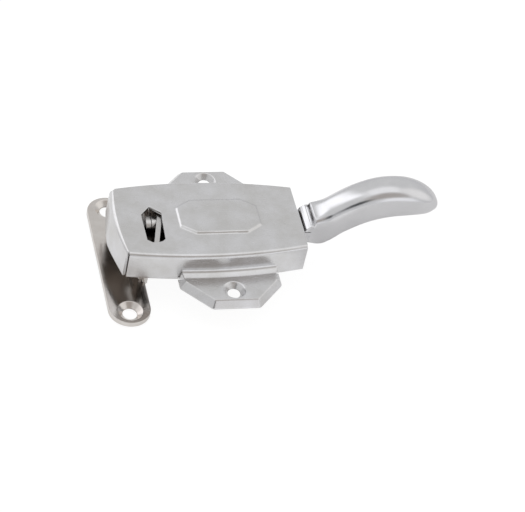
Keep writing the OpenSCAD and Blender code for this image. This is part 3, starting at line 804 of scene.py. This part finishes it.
def closed_loft(rings):
    """Mesh of closed rings with a pole at each end, at the middle of the end ring."""
    n, m = rings.shape[:2]
    poles = np.stack([rings[0].mean(0), rings[-1].mean(0)])
    points = np.r_[rings.reshape(-1, 3), poles]
    j = np.arange(m)
    k = (j + 1) % m
    first = np.stack([np.full(m, n * m), k, j], -1)
    last = np.stack([np.full(m, n * m + 1), (n - 1) * m + j, (n - 1) * m + k], -1)
    return points, grid_faces(n, m, wrap=True).reshape(-1, 4), first, last


def across(outline_xz, half_y):
    """A side outline carried across Y, with its two ends drawn in by a small eased edge."""
    mid = outline_xz.mean(0)
    size = np.linalg.norm(outline_xz - mid, axis=1).mean()
    tuck = 1 - EDGE_EASE / size * np.array([1, 0.3, 0, 0, 0.3, 1])
    end_y = half_y - EDGE_EASE * np.array([0, 0.3, 1])
    y = np.r_[-end_y, end_y[::-1]]
    xz = mid + (outline_xz - mid)[None] * tuck[:, None, None]
    rings = np.stack([xz[..., 0], np.broadcast_to(y[:, None], xz.shape[:2]), xz[..., 1]], -1)
    return closed_loft(rings)


parts, faces, count = [], [], 0
for made in (closed_loft(np.r_[shoulder, body_rings]), across(neck_side, NECK_Y),
             across(band_side, NECK_Y), across(tooth_side, TOOTH_Y)):
    parts.append(made[0])
    faces += [f + count for f in made[1:]]
    count += len(made[0])
handle_casting = put_mesh("handle_casting", np.concatenate(parts), faces)
handle_casting.data.materials.append(buffed)
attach(handle_casting, "pull")
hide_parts("handle")
print("handle faces:", len(handle_casting.data.polygons))

# %% [markdown]
# ## Arm spring
# A torsion spring sits round the arm's post. One leg rests on the chassis and the other is bent
# up against the arm's edge and pushes it back, so the wire belongs to two bodies. A stiff copy of
# the solid would stay behind as the arm swings. Here a tube is swept along the wire's path and
# stays where it is. The upper leg keeps clear of the bolt's flange, which slides past on its
# other side.

# %% Spring path
POST_X, POST_Y = -25.9, 14.2
COIL_R, WIRE_R, COIL_LOW, COIL_HIGH, LEG_TOP = 2.9, 0.4, 2.2, 9.2, 11.7
COIL_TURNS = 6.5


def along_line(corners, step=0.3):
    """Points at an even step along a line of corners."""
    corners = np.array(corners)
    run = np.r_[0, np.cumsum(np.linalg.norm(np.diff(corners, axis=0), axis=1))]
    at = np.linspace(0, run[-1], int(run[-1] / step) + 1)
    return np.stack([np.interp(at, run, c) for c in corners.T], -1)


wind = np.linspace(0, 1, 220)
wind_a = np.pi / 2 + 2 * np.pi * COIL_TURNS * wind
coil = np.stack([COIL_R * np.cos(wind_a), COIL_R * np.sin(wind_a),
                 COIL_LOW + (COIL_HIGH - COIL_LOW) * wind], -1)
foot_leg = along_line([(9.2, COIL_R, COIL_LOW), (0.4, COIL_R, COIL_LOW)])
arm_leg = along_line([(0.4, -COIL_R, COIL_HIGH), (1.5, -3.1, COIL_HIGH), (1.3, -4.4, COIL_HIGH),
                      (0.25, -6.1, COIL_HIGH), (0.12, -6.3, COIL_HIGH + 0.4),
                      (0.12, -6.3, LEG_TOP)])
wire_path = np.r_[foot_leg, coil, arm_leg]
for _ in range(3):
    wire_path[1:-1] = (wire_path[:-2] + 2 * wire_path[1:-1] + wire_path[2:]) / 4
print("spring path points:", len(wire_path))


# %% Spring wire
def tube(path, radius, sides=12):
    """A round tube: path + radius * (cos(a) * c + sin(a) * b), where c lies level across the
    path and b is at right angles to both. Where the path stands upright, c stays as before."""
    head = np.gradient(path, axis=0)
    head /= np.linalg.norm(head, axis=1)[:, None]
    level = np.abs(head[:, 2]) < 0.8
    c = np.cross(head, [0.0, 0.0, 1.0])
    c[~level] = c[np.flatnonzero(level)[-1]]
    c /= np.linalg.norm(c, axis=1)[:, None]
    b = np.cross(c, head)
    a = np.linspace(0, 2 * np.pi, sides, endpoint=False)[:, None]
    return path[:, None] + radius * (np.cos(a) * c[:, None] + np.sin(a) * b[:, None])


wire_points, *wire_faces = closed_loft(tube(wire_path, WIRE_R)[:, ::-1])
wire_points = wire_points + np.array([POST_X, POST_Y, 0.0])
arm_spring_wire = put_mesh("arm_spring_wire", wire_points, wire_faces)
arm_spring_wire.data.materials.append(spring_wire)
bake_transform(arm_spring_wire)
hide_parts("arm_spring")
print("spring box mm:", wire_points.min(0).round(2), wire_points.max(0).round(2))

# %% [markdown]
# ## Solids that stay
# The strike and the working parts have the right shape already. Their meshes are triangles with
# sharp edges, so a stack of modifiers finishes them: Weld joins the triangles, a planar Decimate
# clears the flats, and a Bevel gives each edge the small radius that catches the light.


# %% Finish the solids
def soften(name, material, width_mm, segments=2):
    """Joins a solid's triangles, clears its flats, rounds its edges and gives it a finish."""
    part = node[name]
    part.data.materials.clear()
    part.data.materials.append(material)
    weld = part.modifiers.new("weld", "WELD")
    weld.merge_threshold = 1e-6
    flat = part.modifiers.new("flats", "DECIMATE")
    flat.decimate_type, flat.angle_limit = "DISSOLVE", math.radians(1.0)
    ease = part.modifiers.new("edges", "BEVEL")
    ease.width, ease.segments = width_mm * 0.001, segments
    ease.limit_method, ease.angle_limit = "ANGLE", math.radians(30)
    part.modifiers.new("normals", "WEIGHTED_NORMAL")


soften("strike", plated, 0.30, 3)
# The bolt and its nose take the steel with painted shade below.
for name in ("bolt", "bolt_nose"):
    soften(name, steel_with_painted_shade, 0.15)
soften("return_arm", ground, 0.15)
for name in ("chassis", "strap_front", "strap_rear"):
    soften(name, zinc, 0.12)
for name in ("handle_pin", "arm_post", "nose_rivet_a", "nose_rivet_b",
             "strap_rivet_a", "strap_rivet_b", "strap_rivet_c", "strap_rivet_d"):
    soften(name, zinc, 0.10)
for name in ("clip_near", "clip_far", "arm_clip"):
    soften(name, black_oxide, 0.08)
for name in ("washer_near", "washer_far"):
    soften(name, nylon, 0.06)
print("finished solids:", sum(bool(o.modifiers) for o in node.values()))
